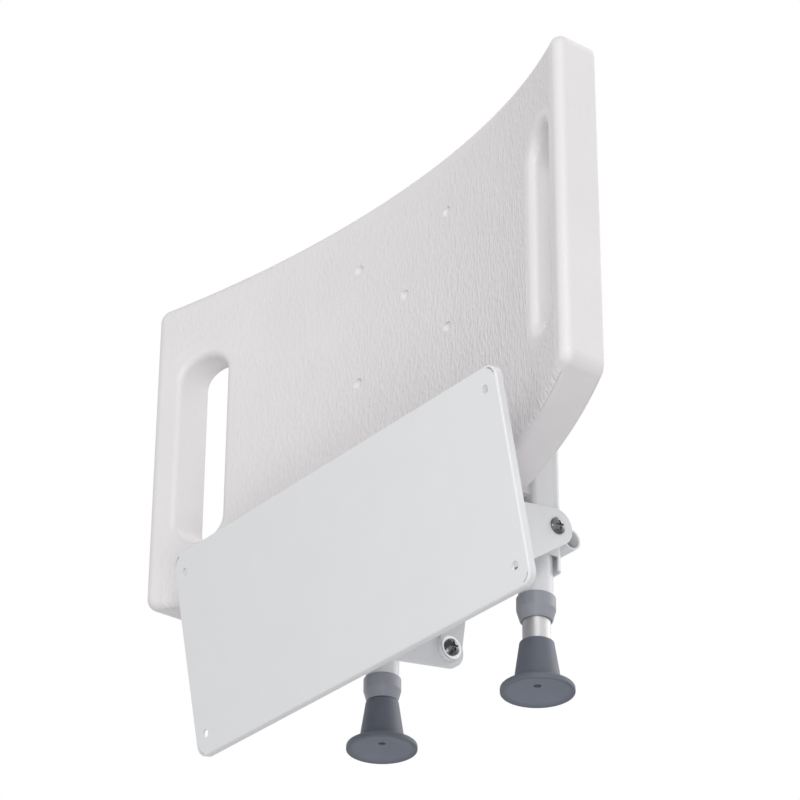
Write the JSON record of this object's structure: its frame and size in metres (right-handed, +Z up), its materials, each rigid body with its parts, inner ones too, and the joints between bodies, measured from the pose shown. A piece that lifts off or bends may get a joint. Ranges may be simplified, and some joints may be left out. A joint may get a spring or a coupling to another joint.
{
  "type": "fold-up shower seat",
  "caption": "Wall-mounted shower seat with a dished plastic board, hinged arms, folding telescopic front legs, a slotted limit stay and rubber feet.",
  "frame": {"origin": "middle of the wall plate on its wall face", "axes": "+X across the seat to the right as seen by someone looking at the wall, +Y out from the wall, +Z up"},
  "size_m": [0.506, 0.1899, 0.4594],
  "materials": {
    "seat_plastic": "moulded high-density polyethylene, pebbled on the sitting face",
    "white_paint": "white powder coat on steel sheet and tube",
    "dark_zinc": "dark zinc plate",
    "insert_brass": "turned brass",
    "satin_aluminium": "satin anodised",
    "grey_plastic": "mid-grey moulded nylon",
    "natural_plastic": "natural acetal",
    "foot_rubber": "blue-grey rubber"
  },
  "bodies": {
    "wall_unit": {"wall_plate": "white_paint", "right_hinge_bracket": "white_paint", "left_hinge_bracket": "white_paint", "stay_bracket": "white_paint", "hinge_bolts": "dark_zinc", "hinge_nuts": "dark_zinc", "hinge_washers": "dark_zinc", "stay_bolt": "dark_zinc", "stay_nut": "dark_zinc", "stay_washer": "dark_zinc"},
    "seat": {"seat_board": "seat_plastic", "right_seat_arm": "white_paint", "left_seat_arm": "white_paint", "seat_screws": "dark_zinc", "seat_inserts": "insert_brass", "leg_pivot_bolts": "dark_zinc", "leg_pivot_nuts": "dark_zinc", "leg_pivot_spacers": "dark_zinc"},
    "leg_frame": {"right_leg_channel": "white_paint", "left_leg_channel": "white_paint", "right_leg_tube": "white_paint", "left_leg_tube": "white_paint", "cross_tube": "white_paint", "stay_rod": "dark_zinc", "tube_rivets": "dark_zinc", "right_tube_bush": "natural_plastic", "left_tube_bush": "natural_plastic"},
    "stay": {"stay_bar": "white_paint"},
    "right_collar": {"right_lock_collar": "grey_plastic"},
    "right_inner_leg": {"right_foot": "foot_rubber", "right_foot_disc": "dark_zinc", "right_inner_tube": "satin_aluminium", "right_guide_plug": "natural_plastic"},
    "left_collar": {"left_lock_collar": "grey_plastic"},
    "left_inner_leg": {"left_foot": "foot_rubber", "left_foot_disc": "dark_zinc", "left_inner_tube": "satin_aluminium", "left_guide_plug": "natural_plastic"}
  },
  "joints": [
    {"name": "seat_fold", "type": "hinge", "parent": "wall_unit", "child": "seat", "pos_m": [0, 0.111, 0.0025], "axis": [-1, 0, 0], "range_deg": [0, 79]},
    {"name": "leg_fold", "type": "hinge", "parent": "seat", "child": "leg_frame", "pos_m": [0, 0.15682, 0.23299], "axis": [1, 0, 0], "range_deg": [0, 90]},
    {"name": "stay_swing", "type": "hinge", "parent": "wall_unit", "child": "stay", "pos_m": [0, 0.08, -0.0585], "axis": [-1, 0, 0], "range_deg": [0, 62.31]},
    {"name": "right_leg_slide", "type": "slide", "parent": "leg_frame", "child": "right_inner_leg", "axis": [0, -0.1908, -0.9816], "range_m": [-0.016, 0.044]},
    {"name": "right_collar_turn", "type": "hinge", "parent": "leg_frame", "child": "right_collar", "pos_m": [0.089, 0.10118, -0.05325], "axis": [0, 0.1908, 0.9816], "range_deg": [0, 90]},
    {"name": "left_leg_slide", "type": "slide", "parent": "leg_frame", "child": "left_inner_leg", "axis": [0, -0.1908, -0.9816], "range_m": [0, 0.06]},
    {"name": "left_collar_turn", "type": "hinge", "parent": "leg_frame", "child": "left_collar", "pos_m": [-0.089, 0.10118, -0.05325], "axis": [0, 0.1908, 0.9816], "range_deg": [0, 90]}
  ],
  "couplings": [
    {"joint": "leg_fold", "follows": "seat_fold", "ratio": 1.1392},
    {"joint": "stay_swing", "follows": "seat_fold", "ratio": 0.7887}
  ]
}
